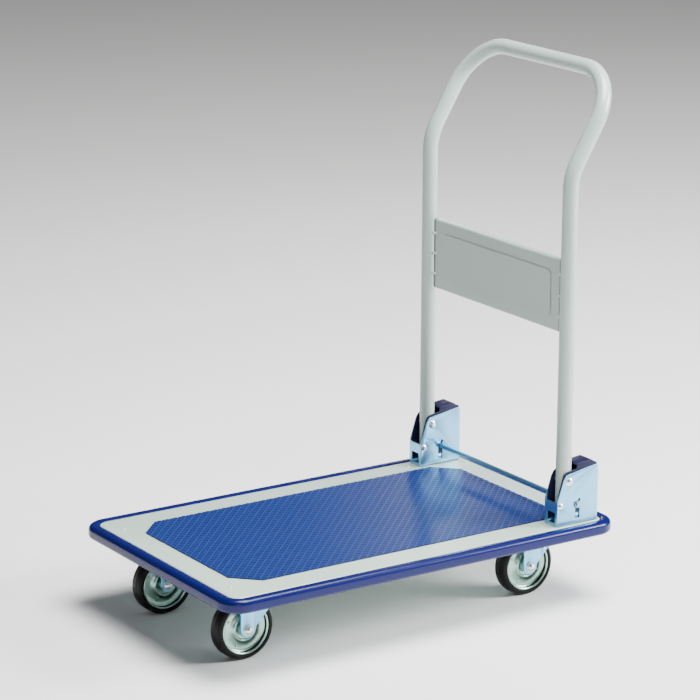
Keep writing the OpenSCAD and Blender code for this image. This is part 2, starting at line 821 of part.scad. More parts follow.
deck_plate();
edge_bumper();
top_mat();
front_channel();
rear_channel();
spine_channel();
corner_rivets();
bracket(left);  // bracket_left
bracket(right);  // bracket_right
guard(left);  // guard_left
guard(right);  // guard_right
pivot_pin(left);  // pivot_pin_left
pivot_pin(right);  // pivot_pin_right
stop_pin(left);  // stop_pin_left
stop_pin(right);  // stop_pin_right
bracket_screws();
rod_spring(left);  // rod_spring_left
rod_spring(right);  // rod_spring_right
handle_tube();
handle_panel();
pivot_bushes();
lock_rod();
rod_clips();
rigid_fork(left);  // rigid_fork_left
rigid_fork(right);  // rigid_fork_right
swivel_plate(left);  // swivel_plate_left
swivel_plate(right);  // swivel_plate_right
kingpin(left);  // kingpin_left
kingpin(right);  // kingpin_right
plate_bolts();
swivel_fork(left);  // swivel_fork_left
swivel_fork(right);  // swivel_fork_right
race_balls(left);  // race_balls_left
race_balls(right);  // race_balls_right
axle(front, left);  // axle_front_left
axle(front, right);  // axle_front_right
axle(rear, left);  // axle_rear_left
axle(rear, right);  // axle_rear_right
tyre(front, left);  // tyre_front_left
tyre(front, right);  // tyre_front_right
tyre(rear, left);  // tyre_rear_left
tyre(rear, right);  // tyre_rear_right
rim_outer(front, left);  // rim_outer_front_left
rim_outer(front, right);  // rim_outer_front_right
rim_outer(rear, left);  // rim_outer_rear_left
rim_outer(rear, right);  // rim_outer_rear_right
rim_inner(front, left);  // rim_inner_front_left
rim_inner(front, right);  // rim_inner_front_right
rim_inner(rear, left);  // rim_inner_rear_left
rim_inner(rear, right);  // rim_inner_rear_right
hub(front, left);  // hub_front_left
hub(front, right);  // hub_front_right
hub(rear, left);  // hub_rear_left
hub(rear, right);  // hub_rear_right
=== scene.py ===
"""The finished look of a folding platform cart.

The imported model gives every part's place.  This script dresses the parts whose shape is
right, and models finer ones where pressed sheet, moulded rubber or welds need more than
a plain solid shows.  +X points to the handle, +Y to the cart's left and +Z up; lengths
are written in millimetres and turned to metres where a mesh is made.
"""

import json
import logging
import math
from collections.abc import Iterable, Sequence
from dataclasses import dataclass
from enum import Enum

import bmesh
import bpy
from mathutils import Matrix, Vector

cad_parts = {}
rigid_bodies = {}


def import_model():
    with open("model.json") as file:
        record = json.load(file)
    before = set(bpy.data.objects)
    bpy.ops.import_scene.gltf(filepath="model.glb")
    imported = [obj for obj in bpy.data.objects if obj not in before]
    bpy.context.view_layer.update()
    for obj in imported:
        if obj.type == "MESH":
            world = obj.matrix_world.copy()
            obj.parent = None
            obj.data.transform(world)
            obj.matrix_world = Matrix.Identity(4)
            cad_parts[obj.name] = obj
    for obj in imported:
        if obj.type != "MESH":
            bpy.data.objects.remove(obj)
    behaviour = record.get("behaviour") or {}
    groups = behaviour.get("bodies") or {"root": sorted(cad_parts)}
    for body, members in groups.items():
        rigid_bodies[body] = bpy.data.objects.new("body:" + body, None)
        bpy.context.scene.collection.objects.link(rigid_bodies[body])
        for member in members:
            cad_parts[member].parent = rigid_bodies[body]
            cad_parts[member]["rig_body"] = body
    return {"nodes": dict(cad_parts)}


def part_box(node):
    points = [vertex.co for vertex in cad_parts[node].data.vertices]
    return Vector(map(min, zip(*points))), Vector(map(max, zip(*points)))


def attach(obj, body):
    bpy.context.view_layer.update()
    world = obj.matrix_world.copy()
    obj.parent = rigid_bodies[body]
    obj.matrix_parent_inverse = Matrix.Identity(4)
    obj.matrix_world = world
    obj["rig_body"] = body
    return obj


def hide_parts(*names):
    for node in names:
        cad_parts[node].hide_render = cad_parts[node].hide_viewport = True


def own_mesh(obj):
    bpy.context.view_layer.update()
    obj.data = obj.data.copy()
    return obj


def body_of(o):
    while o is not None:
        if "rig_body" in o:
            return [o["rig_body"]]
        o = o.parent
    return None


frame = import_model()

LOG = logging.getLogger("platform_cart")
# Metres in a millimetre, and how near two points are to be one, in metres.
MM = 0.001
JOIN = 0.00001
# Degrees: the least angle that is rounded, that shades crisp and that counts as a square
# bend, and the greatest that still counts as flat.
ROUNDED = 28.0
CRISP = 35.0
SQUARE = 80.0
FLAT = 0.5
# The profile of a round bevel, and how many faces the rounding of a small edge has.
ROUND = 0.5
SOFT_STEPS = 2
# How far the edges of the casters' bolts are rounded, in millimetres.
BOLT_EDGE = 0.4
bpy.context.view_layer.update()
MADE: dict[str, bpy.types.Material] = {}

Point = tuple[float, float]


class Side(Enum):
    """The cart's left side is +Y, and its right side is -Y."""

    LEFT = "left"
    RIGHT = "right"

    @property
    def sign(self) -> int:
        """+1 on the left and -1 on the right."""
        return 1 if self is Side.LEFT else -1


class End(Enum):
    """The end with the fixed casters, and the end with the swivel casters."""

    FRONT = "front"
    REAR = "rear"


# ---- Finishes ----


def linear(code: str) -> tuple[float, float, float, float]:
    """Turns an sRGB hex colour to linear.

    Args:
        code: the colour as six hex digits after a #.

    Returns:
        Red, green, blue and alpha in linear light.
    """
    shares = [int(code[i : i + 2], 16) / 255 for i in (1, 3, 5)]
    return (*[s / 12.92 if s <= 0.04045 else ((s + 0.055) / 1.055) ** 2.4 for s in shares], 1.0)


def add_node(tree: bpy.types.NodeTree, kind: str, inputs: dict | None = None, **options) -> bpy.types.Node:
    """Adds a node with its options, and fills or links its inputs.

    Args:
        tree: the material's node tree.
        kind: the node's type name.
        inputs: values or output sockets, by the input's name or number.
        options: settings of the node itself.

    Returns:
        The new node.
    """
    node = tree.nodes.new(kind)
    for option, value in options.items():
        setattr(node, option, value)
    for key, value in (inputs or {}).items():
        if isinstance(value, bpy.types.NodeSocket):
            tree.links.new(value, node.inputs[key])
        else:
            node.inputs[key].default_value = value
    return node


@dataclass(frozen=True)
class Finish:
    """One material: what it is made of, and the gloss and grain its making gave it."""

    name: str
    colour: str
    shade: str
    roughness: float

    def pattern(self, tree: bpy.types.NodeTree, place: bpy.types.NodeSocket) -> dict:
        """The shader inputs that vary over the surface.

        Args:
            tree: the material's node tree.
            place: the object coordinates, in metres.

        Returns:
            Output sockets by the name of the shader input that they drive.
        """
        raise NotImplementedError

    def constants(self) -> dict:
        """The shader inputs that are the same all over, by name."""
        return {}

    def material(self) -> bpy.types.Material:
        """Makes the material the first time that it is asked for.

        Returns:
            The material, the same one each time.
        """
        if self.name in MADE:
            return MADE[self.name]
        made = bpy.data.materials.new(self.name)
        made.use_nodes = True
        tree = made.node_tree
        tree.nodes.clear()
        place = add_node(tree, "ShaderNodeTexCoord").outputs["Object"]
        shader = add_node(tree, "ShaderNodeBsdfPrincipled", self.constants() | self.pattern(tree, place))
        add_node(tree, "ShaderNodeOutputMaterial", {"Surface": shader.outputs[0]})
        MADE[self.name] = made
        return made


@dataclass(frozen=True)
class PowderCoat(Finish):
    """Polyester powder baked on steel: a deep gloss over a faint orange peel."""

    peel: float = 2.2
    peel_depth: float = 0.05
    coat: float = 0.3
    coat_roughness: float = 0.12
    patches: float = 9.0  # slow changes of tone, per metre
    gloss: tuple[float, float] = (-0.04, 0.05)

    def constants(self) -> dict:
        """The clear top of the powder film."""
        return {"IOR": 1.5, "Coat Weight": self.coat, "Coat Roughness": self.coat_roughness}

    def pattern(self, tree: bpy.types.NodeTree, place: bpy.types.NodeSocket) -> dict:
        """Slow drift of the film's tone and gloss, and its orange peel.

        Args:
            tree: the material's node tree.
            place: the object coordinates, in metres.

        Returns:
            Output sockets by the name of the shader input that they drive.
        """
        drift = add_node(tree, "ShaderNodeTexNoise", {"Vector": place, "Scale": self.patches,
                                                      "Detail": 3.0})
        tone = add_node(tree, "ShaderNodeMix", {0: drift.outputs[0], 6: linear(self.colour),
                                                7: linear(self.shade)}, data_type="RGBA")
        gloss = add_node(tree, "ShaderNodeMapRange", {"Value": drift.outputs[0],
                                                      "To Min": self.roughness + self.gloss[0],
                                                      "To Max": self.roughness + self.gloss[1]})
        peel = add_node(tree, "ShaderNodeTexNoise", {"Vector": place, "Scale": 1 / (self.peel * MM),
                                                     "Detail": 1.0})
        bump = add_node(tree, "ShaderNodeBump", {"Height": peel.outputs[0], "Strength": 0.5,
                                                 "Distance": self.peel_depth * MM})
        return {"Base Color": tone.outputs[2], "Roughness": gloss.outputs[0], "Normal": bump.outputs[0]}


@dataclass(frozen=True)
class ZincPlate(Finish):
    """Zinc with a blue passivate: cool metal with cloudy spangle and fine rolling lines."""

    cloud: float = 18.0
    grain: float = 0.5
    grain_depth: float = 0.006
    drawn_out: float = 0.08  # how much slower the lines change along the sheet
    gloss: tuple[float, float] = (-0.07, 0.09)

    def constants(self) -> dict:
        """Plated steel is all metal to light."""
        return {"Metallic": 1.0}

    def pattern(self, tree: bpy.types.NodeTree, place: bpy.types.NodeSocket) -> dict:
        """Clouds of thicker passivate, and lines along the rolled sheet.

        Args:
            tree: the material's node tree.
            place: the object coordinates, in metres.

        Returns:
            Output sockets by the name of the shader input that they drive.
        """
        cloud = add_node(tree, "ShaderNodeTexNoise", {"Vector": place, "Scale": 1 / (self.cloud * MM),
                                                      "Detail": 4.0, "Roughness": 0.6})
        tone = add_node(tree, "ShaderNodeMix", {0: cloud.outputs[0], 6: linear(self.colour),
                                                7: linear(self.shade)}, data_type="RGBA")
        rolled = add_node(tree, "ShaderNodeMapping", {"Vector": place,
                                                      "Scale": (self.drawn_out, 1.0, 1.0)})
        lines = add_node(tree, "ShaderNodeTexNoise", {"Vector": rolled.outputs[0],
                                                      "Scale": 1 / (self.grain * MM), "Detail": 2.0})
        gloss = add_node(tree, "ShaderNodeMapRange", {"Value": lines.outputs[0],
                                                      "To Min": self.roughness + self.gloss[0],
                                                      "To Max": self.roughness + self.gloss[1]})
        bump = add_node(tree, "ShaderNodeBump", {"Height": lines.outputs[0], "Strength": 0.4,
                                                 "Distance": self.grain_depth * MM})
        return {"Base Color": tone.outputs[2], "Roughness": gloss.outputs[0], "Normal": bump.outputs[0]}


@dataclass(frozen=True)
class Moulded(Finish):
    """Plastic or rubber from a polished mould: even colour, soft gloss and a fine skin."""

    skin: float = 0.9
    skin_depth: float = 0.02
    ior: float = 1.5
    specular: float = 0.5
    patches: float = 14.0  # flow marks, per metre
    swirl: float = 0.4
    gloss: tuple[float, float] = (-0.05, 0.06)

    def constants(self) -> dict:
        """The index of the plastic, and how strongly its skin mirrors."""
        return {"IOR": self.ior, "Specular IOR Level": self.specular}

    def pattern(self, tree: bpy.types.NodeTree, place: bpy.types.NodeSocket) -> dict:
        """Slow flow marks in tone and gloss, and the skin's fine texture.

        Args:
            tree: the material's node tree.
            place: the object coordinates, in metres.

        Returns:
            Output sockets by the name of the shader input that they drive.
        """
        flow = add_node(tree, "ShaderNodeTexNoise", {"Vector": place, "Scale": self.patches,
                                                     "Detail": 3.0, "Distortion": self.swirl})
        tone = add_node(tree, "ShaderNodeMix", {0: flow.outputs[0], 6: linear(self.colour),
                                                7: linear(self.shade)}, data_type="RGBA")
        gloss = add_node(tree, "ShaderNodeMapRange", {"Value": flow.outputs[0],
                                                      "To Min": self.roughness + self.gloss[0],
                                                      "To Max": self.roughness + self.gloss[1]})
        skin = add_node(tree, "ShaderNodeTexNoise", {"Vector": place, "Scale": 1 / (self.skin * MM),
                                                     "Detail": 2.0})
        bump = add_node(tree, "ShaderNodeBump", {"Height": skin.outputs[0], "Strength": 0.4,
                                                 "Distance": self.skin_depth * MM})
        return {"Base Color": tone.outputs[2], "Roughness": gloss.outputs[0], "Normal": bump.outputs[0]}


@dataclass(frozen=True)
class EmbossedVinyl(Finish):
    """Embossed PVC sheet: satin pits, with a painted highlight on the tops of its ridges.

    ground and top are the heights, above the floor, between which the painted highlight fades in up a
    ridge.
    """

    ground: float = 137.1
    top: float = 138.0
    # The colour of the ridge tops: a painted highlight.
    ridge: str = "#1e3676"
    grain: float = 0.7
    grain_depth: float = 0.03
    patches: float = 7.0  # slow changes of tone, per metre
    gloss: tuple[float, float] = (-0.06, 0.08)

    def constants(self) -> dict:
        """Soft PVC."""
        return {"IOR": 1.46, "Specular IOR Level": 0.35}

    def pattern(self, tree: bpy.types.NodeTree, place: bpy.types.NodeSocket) -> dict:
        """Painted highlight by height up a ridge, over a slow drift, with a leathery grain.

        Args:
            tree: the material's node tree.
            place: the object coordinates, in metres.

        Returns:
            Output sockets by the name of the shader input that they drive.
        """
        height = add_node(tree, "ShaderNodeSeparateXYZ", {"Vector": place})
        # Painted highlight: paler towards the top of a ridge.
        rise = add_node(tree, "ShaderNodeMapRange", {"Value": height.outputs[2],
                                                     "From Min": self.ground * MM,
                                                     "From Max": self.top * MM})
        drift = add_node(tree, "ShaderNodeTexNoise", {"Vector": place, "Scale": self.patches,
                                                      "Detail": 3.0})
        base = add_node(tree, "ShaderNodeMix", {0: drift.outputs[0], 6: linear(self.colour),
                                                7: linear(self.shade)}, data_type="RGBA")
        tone = add_node(tree, "ShaderNodeMix", {0: rise.outputs[0], 6: base.outputs[2],
                                                7: linear(self.ridge)}, data_type="RGBA")
        grain = add_node(tree, "ShaderNodeTexNoise", {"Vector": place, "Scale": 1 / (self.grain * MM),
                                                      "Detail": 2.0})
        gloss = add_node(tree, "ShaderNodeMapRange", {"Value": grain.outputs[0],
                                                      "To Min": self.roughness + self.gloss[0],
                                                      "To Max": self.roughness + self.gloss[1]})
        bump = add_node(tree, "ShaderNodeBump", {"Height": grain.outputs[0], "Strength": 0.4,
                                                 "Distance": self.grain_depth * MM})
        return {"Base Color": tone.outputs[2], "Roughness": gloss.outputs[0], "Normal": bump.outputs[0]}


# Light grey polyester powder coat on the pressed deck: glossy enough to mirror the brackets.
DECK_COAT = PowderCoat("grey_powder_coat_deck", "#b3c6bb", "#abbfb3", 0.30, coat=0.2)
# The same powder sprayed thinner on the hidden channels, which leaves it satin.
UNDER_COAT = PowderCoat("grey_powder_coat_underframe", "#a3ada7", "#98a39d", 0.46, coat=0.1)
# Grey-green powder coat on tube and panel: deep gloss with a soft broad highlight.
HANDLE_COAT = PowderCoat("grey_green_powder_coat_handle", "#a9bab2", "#a2b3ab", 0.30, coat=0.3)
# The handle's coat darkened as painted shade, in the panel's groove and on the strips at its ends.
PAINTED_SHADE_COAT = PowderCoat("grey_green_powder_coat_painted_shade", "#6b7874", "#616e6a", 0.45, coat=0.0)
# The handle's coat on a weld, made paler as a painted highlight.
WELD_HIGHLIGHT_COAT = PowderCoat("grey_green_powder_coat_weld_painted_highlight", "#cddad4", "#c6d3cd", 0.25, coat=0.3)
# Extruded soft PVC edging: wet-looking gloss from the die, deep ultramarine.
EDGE_PVC = Moulded("blue_extruded_pvc", "#070f52", "#060d48", 0.22, specular=0.27)
# Embossed PVC matting, satin, with a painted highlight on its ridges.
MAT_PVC = EmbossedVinyl("blue_embossed_pvc_painted_highlight", "#0b1746", "#09143e", 0.33)
# Injection-moulded polypropylene guard: violet-blue, satin.
GUARD_PP = Moulded("violet_blue_polypropylene", "#0e0c33", "#0c0a2d", 0.42, specular=0.35)
# Rolled steel sheet, zinc plated with a clear blue passivate: satin and cool.
SHEET_ZINC = ZincPlate("blue_passivated_zinc_sheet", "#8dc6e9", "#7cb9df", 0.34)
# Turned and headed parts in bright zinc: smoother, nearly white.
BRIGHT_ZINC = ZincPlate("bright_zinc_turned", "#e6f0f2", "#dae7ea", 0.27, cloud=9.0, grain=0.8,
                        grain_depth=0.001)
# Deep-drawn rims in zinc with a greener passivate: a soft, even sheen in the dish.
RIM_ZINC = ZincPlate("green_blue_zinc_pressing", "#a9c6bb", "#8fb3a6", 0.29, cloud=14.0,
                     grain_depth=0.002)
# Bolts, screws and clips in dull zinc.
FASTENER_ZINC = ZincPlate("dull_zinc_fastener", "#9aa4a7", "#8b969a", 0.40, cloud=6.0)
# Drawn spring wire, lightly oiled.
SPRING_WIRE = ZincPlate("drawn_spring_wire", "#b7c1c4", "#a6b1b5", 0.26, cloud=5.0, grain=0.3)
# Solid black rubber from a smooth mould: deep black with a faint broad sheen.
TYRE_RUBBER = Moulded("black_moulded_rubber", "#010101", "#020202", 0.48, skin=1.4, skin_depth=0.03,
                      specular=0.22)
# Natural nylon bush: waxy, off-white.
NYLON = Moulded("natural_nylon", "#e4e0d2", "#dcd7c6", 0.5, ior=1.53)
# Matt white floor paint.
FLOOR_PAINT = Moulded("matt_white_floor", "#f4f4f3", "#f1f1f0", 0.85, skin=3.0, skin_depth=0.01)


# ---- Shared modelling steps ----


def arc(centre: Point, radius: float, start: float, end: float, steps: int) -> list[Point]:
    """Points along an arc.

    Args:
        centre: the arc's centre.
        radius: its radius.
        start: the first angle, in degrees.
        end: the last angle, in degrees.
        steps: how many chords it has.

    Returns:
        The points, both ends among them.
    """
    turns = [math.radians(start + (end - start) * k / steps) for k in range(steps + 1)]
    return [(centre[0] + radius * math.cos(t), centre[1] + radius * math.sin(t)) for t in turns]


def mirrored(points: Sequence[Point]) -> list[Point]:
    """Half of a section as radius and width, with its mirror image after it."""
    return [*points, *[(r, -w) for r, w in reversed(points)]]


def draw_wire(mesh: bmesh.types.BMesh, points: Sequence[Point], place: Matrix, closed: bool) -> list:
    """Draws an outline as edges.

    Args:
        mesh: the mesh to add to.
        points: the outline in millimetres.
        place: takes the outline's plane into the cart's frame, in metres.
        closed: whether the last point joins the first.

    Returns:
        The new vertices and edges.
    """
    verts = [mesh.verts.new(place @ Vector((a * MM, b * MM, 0))) for a, b in points]
    pairs = list(zip(verts, verts[1:])) + ([(verts[-1], verts[0])] if closed else [])
    return verts + [mesh.edges.new(pair) for pair in pairs]


def spun(points: Sequence[Point], centre: Vector, steps: int, closed: bool = True) -> bmesh.types.BMesh:
    """Turns an outline of radius and width about an axle along Y.

    Args:
        points: radius and distance along the axle, in millimetres.
        centre: the middle of the wheel, in metres.
        steps: how many segments the turn has.
        closed: whether the last point joins the first; otherwise both lie on the axle.

    Returns:
        The closed mesh.
    """
    mesh = bmesh.new()
    outline = draw_wire(mesh, points, Matrix.Translation(centre), closed)
    bmesh.ops.spin(mesh, geom=outline, cent=centre, axis=(0, 1, 0), angle=math.tau, steps=steps,
                   use_merge=True, use_duplicate=False)
    bmesh.ops.remove_doubles(mesh, verts=mesh.verts, dist=JOIN)
    bmesh.ops.recalc_face_normals(mesh, faces=mesh.faces)
    return mesh


def bent_edges(mesh: bmesh.types.BMesh, angle: float) -> list[bmesh.types.BMEdge]:
    """The edges between two faces that bend by more than an angle in degrees."""
    limit = math.radians(angle)
    return [e for e in mesh.edges if e.is_manifold and e.calc_face_angle(0.0) > limit]


def everything(mesh: bmesh.types.BMesh) -> list:
    """All vertices, edges and faces of a mesh."""
    return mesh.verts[:] + mesh.edges[:] + mesh.faces[:]


def only(kind: type, geometry: Iterable) -> list:
    """The members of a mesh operator's result that are of one kind."""
    return [member for member in geometry if isinstance(member, kind)]


def soften(mesh: bmesh.types.BMesh, width: float, angle: float = ROUNDED) -> None:
    """Rounds every edge that is sharper than an angle.

    Args:
        mesh: the mesh to change.
        width: the rounding's width, in millimetres.
        angle: the least angle that is rounded, in degrees.
    """
    bmesh.ops.bevel(mesh, geom=bent_edges(mesh, angle), offset=width * MM, offset_type="OFFSET",
                    segments=SOFT_STEPS, profile=ROUND, affect="EDGES", clamp_overlap=False,
                    material=-1)


def make_piece(name: str, mesh: bmesh.types.BMesh, finish: Finish, body: str,
               stands_for: Iterable[str] = (), others: Iterable[Finish] = ()) -> bpy.types.Object:
    """Makes a finished piece of a mesh, and ties it to the model.

    Args:
        name: the piece's name.
        mesh: its mesh, which is freed.
        finish: its material.
        body: the body that it moves with.
        stands_for: the CAD nodes that it replaces.
        others: finishes for faces whose material index is 1 or more.

    Returns:
        The new object.
    """
    data = bpy.data.meshes.new(name)
    mesh.to_mesh(data)
    mesh.free()
    data.shade_smooth()
    data.set_sharp_from_angle(angle=math.radians(CRISP))
    for coat in (finish, *others):
        data.materials.append(coat.material())
    piece = bpy.data.objects.new(name, data)
    bpy.context.scene.collection.objects.link(piece)
    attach(piece, body)
    if stands_for:
        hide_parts(*stands_for)
    LOG.info("%s: %d faces, %s, rides on %s", name, len(data.polygons), finish.name, body)
    return piece


def dress(node: str, finish: Finish) -> None:
    """Gives a CAD part that stays its finish.

    Args:
        node: the CAD part.
        finish: its material.
    """
    for slot in frame["nodes"][node].material_slots:
        slot.material = finish.material()
    LOG.info("%s: CAD part, %s", node, finish.name)


def merged_copy(node: str) -> bmesh.types.BMesh:
    """Copies a CAD part's mesh and joins its loose triangles into flat faces.

    Args:
        node: the CAD part.

    Returns:
        The copy.
    """
    mesh = bmesh.new()
    mesh.from_mesh(frame["nodes"][node].data)
    bmesh.ops.remove_doubles(mesh, verts=mesh.verts, dist=JOIN)
    bmesh.ops.dissolve_limit(mesh, angle_limit=math.radians(FLAT), verts=mesh.verts, edges=mesh.edges)
    return mesh


def replace_node(node: str, mesh: bmesh.types.BMesh, finish: Finish) -> None:
    """Stands a mesh in for a CAD part, on the same body."""
    make_piece(f"{node}_piece", mesh, finish, body_name(node), [node])


def soften_node(node: str, width: float, finish: Finish) -> None:
    """Stands a copy with rounded edges in for a CAD part.

    Args:
        node: the CAD part.
        width: the rounding's width, in millimetres.
        finish: its material.
    """
    mesh = merged_copy(node)
    soften(mesh, width)
    replace_node(node, mesh, finish)


def body_name(node: str) -> str:
    """The body that a CAD part rides on."""
    return body_of(frame["nodes"][node])[0]


# ---- Deck ----


@dataclass
class Deck:
    """The pressed deck plate with its channels, embossed mat, edge bumper and rivets."""

    corner: float = 18.5
    sheet: float = 1.6
    edge_bend: float = 2.4
    nose: float = 6.0
    crest: float = 8.5
    gap: float = 0.3
    lip_reach: float = 9.0
    lip: float = 2.0
    lip_thick: float = 2.4
    mat_cut: float = 40.0
    net_pitch: float = 10.8
    ridge: float = 2.5
    pit_slope: float = 0.8
    pit_depth: float = 0.9
    moat: float = 1.7
    stud_slope: float = 0.5
    stud_rise: float = 0.6
    channel_edge: float = 0.5
    corner_steps: int = 12
    bend_steps: int = 5
    sweep_steps: int = 14

    def build(self) -> None:
        """Makes and dresses all the deck's pieces."""
        self.plate()
        self.bumper()
        self.mat()
        for channel in ("front_channel", "rear_channel", "spine_channel"):
            soften_node(channel, self.channel_edge, UNDER_COAT)
        dress("corner_rivets", DECK_COAT)

    def plate(self) -> None:
        """Presses a sheet into a pan with rounded corners and a turned-down rim."""
        low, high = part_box("deck_plate")
        mesh = bmesh.new()
        place = Matrix.Translation(((low.x + high.x) / 2, 0, high.z)) @ Matrix.Diagonal(
            ((high.x - low.x) / 2, high.y, 1, 1))
        bmesh.ops.create_grid(mesh, x_segments=1, y_segments=1, size=1, matrix=place)
        bmesh.ops.bevel(mesh, geom=mesh.verts[:], offset=self.corner * MM, offset_type="OFFSET",
                        segments=self.corner_steps, profile=ROUND, affect="VERTICES", material=-1)
        rim = [e for e in mesh.edges if e.is_boundary]
        grown = bmesh.ops.extrude_edge_only(mesh, edges=rim)["geom"]
        down = only(bmesh.types.BMVert, grown)
        bmesh.ops.translate(mesh, verts=down, vec=(0, 0, low.z - high.z))
        bmesh.ops.recalc_face_normals(mesh, faces=mesh.faces)
        if max(mesh.faces, key=lambda f: f.calc_area()).normal.z < 0:
            bmesh.ops.reverse_faces(mesh, faces=mesh.faces)
        bmesh.ops.bevel(mesh, geom=bent_edges(mesh, SQUARE), offset=self.edge_bend * MM,
                        offset_type="OFFSET", segments=self.bend_steps, profile=ROUND, affect="EDGES",
                        material=-1)
        bmesh.ops.solidify(mesh, geom=mesh.faces[:], thickness=self.sheet * MM)
        make_piece("deck_pan", mesh, DECK_COAT, "deck", ["deck_plate"])

    def bumper_outline(self, out: float, deep: float, high: float) -> list[Point]:
        """Section of the bumper: x outwards from the deck plate's edge, y up from its top.

        Args:
            out: how far the bumper stands out, in millimetres.
            deep: its depth below the deck's top, in millimetres.
            high: how far its crest stands above the deck's top, in millimetres.

        Returns:
            The closed outline.
        """
        # From the deck's edge the top climbs in a hollow curve to the round crest.
        top = [(self.gap, -2.6), (0.4, -0.9), (0.9, -0.3), (2.2, high * 0.15), (6.0, high * 0.65)]
        crest = arc((out - self.crest, high - self.crest), self.crest, 92, 0, 12)
        nose = arc((out - self.nose, self.nose - deep), self.nose, 0, -90, 8)
        # The lip grips the deck's rim from below, with a slanting end.
        lip_top = -deep + self.lip_thick
        lip = [(-self.lip_reach + self.lip, -deep), (-self.lip_reach, -deep + self.lip_thick / 3),
               (-self.lip_reach, lip_top), (self.gap, lip_top)]
        return top + crest + nose + lip

    def bumper(self) -> None:
        """Sweeps the bumper's section along the sides and round the corners."""
        low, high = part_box("edge_bumper")
        plate_low, plate_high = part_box("deck_plate")
        across = plate_high.x - self.corner * MM
        along = plate_high.y - self.corner * MM
        near_x = plate_low.x + self.corner * MM
        outline = self.bumper_outline((high.x - plate_high.x) / MM, (plate_high.z - low.z) / MM,
                                      (high.z - plate_high.z) / MM)
        mesh = bmesh.new()
        start = (Matrix.Translation((plate_high.x, along, plate_high.z))
                 @ Matrix.Rotation(math.pi / 2, 4, "X"))
        section = draw_wire(mesh, outline, start, closed=True)
        corners = [(across, along), (near_x, along), (near_x, -along), (across, -along)]
        for here, then in zip(corners, corners[1:] + corners[:1]):
            turned = bmesh.ops.spin(mesh, geom=section, cent=(*here, 0), axis=(0, 0, 1),
                                    angle=math.pi / 2, steps=self.sweep_steps,
                                    use_duplicate=False)["geom_last"]
            grown = bmesh.ops.extrude_edge_only(mesh, edges=only(bmesh.types.BMEdge, turned))["geom"]
            section = [g for g in grown if not isinstance(g, bmesh.types.BMFace)]
            moved = only(bmesh.types.BMVert, section)
            bmesh.ops.translate(mesh, verts=moved, vec=(then[0] - here[0], then[1] - here[1], 0))
        bmesh.ops.remove_doubles(mesh, verts=mesh.verts, dist=JOIN)
        bmesh.ops.recalc_face_normals(mesh, faces=mesh.faces)
        make_piece("edge_moulding", mesh, EDGE_PVC, "deck", ["edge_bumper"])

    def mat(self) -> None:
        """Embosses a slanting net of ridges with a stud in each pit, then cuts it to its outline.

        The real net is finer.  It is drawn this coarse so that it shows.
        """
        low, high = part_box("top_mat")
        centre = (low + high) / 2
        half = (high - low) / 2
        mesh = bmesh.new()
        cells = math.ceil((half.x + half.y) * math.sqrt(2) / (self.net_pitch * MM))
        place = (Matrix.Translation((centre.x, centre.y, high.z))
                 @ Matrix.Rotation(math.pi / 4, 4, "Z"))
        bmesh.ops.create_grid(mesh, x_segments=cells, y_segments=cells,
                              size=cells * self.net_pitch * MM / 2, matrix=place)
        spare = self.net_pitch * MM
        outside = [f for f in mesh.faces if abs(f.calc_center_median().x - centre.x) > half.x + spare
                   or abs(f.calc_center_median().y) > half.y + spare]
        bmesh.ops.delete(mesh, geom=outside, context="FACES")
        pits = mesh.faces[:]
        for width, rise in ((self.ridge / 2, 0.0), (self.pit_slope, -self.pit_depth), (self.moat, 0.0),
                            (self.stud_slope, self.stud_rise)):
            bmesh.ops.inset_individual(mesh, faces=pits, thickness=width * MM, depth=rise * MM)
        self.trim_mat(mesh, centre, half)
        edge = [e for e in mesh.edges if e.is_boundary]
        grown = bmesh.ops.extrude_edge_only(mesh, edges=edge)["geom"]
        for vert in only(bmesh.types.BMVert, grown):
            vert.co.z = low.z
        make_piece("embossed_mat", mesh, MAT_PVC, "deck", ["top_mat"])

    def trim_mat(self, mesh: bmesh.types.BMesh, centre: Vector, half: Vector) -> None:
        """Cuts the embossed sheet along its four sides and across its four corners.

        Args:
            mesh: the embossed sheet.
            centre: the middle of the mat.
            half: half of the mat's size.
        """
        reach = (half.x + half.y - self.mat_cut * MM) / math.sqrt(2)
        cuts = [((1, 0, 0), half.x), ((-1, 0, 0), half.x), ((0, 1, 0), half.y), ((0, -1, 0), half.y)]
        cuts += [((sx, sy, 0), reach) for sx in (-1, 1) for sy in (-1, 1)]
        for direction, distance in cuts:
            normal = Vector(direction).normalized()
            bmesh.ops.bisect_plane(mesh, geom=everything(mesh), plane_co=centre + normal * distance,
                                   plane_no=normal, clear_outer=True)


# ---- Brackets and lock ----


@dataclass
class Bracket:
    """One folded bracket with its guard and pins."""

    side: Side
    edge: float = 0.35

    def build(self) -> None:
        """Makes and dresses the bracket's pieces."""
        side = self.side.value
        soften_node(f"bracket_{side}", self.edge, SHEET_ZINC)
        soften_node(f"guard_{side}", self.edge, GUARD_PP)
        soften_node(f"pivot_pin_{side}", self.edge, BRIGHT_ZINC)
        soften_node(f"stop_pin_{side}", self.edge, BRIGHT_ZINC)


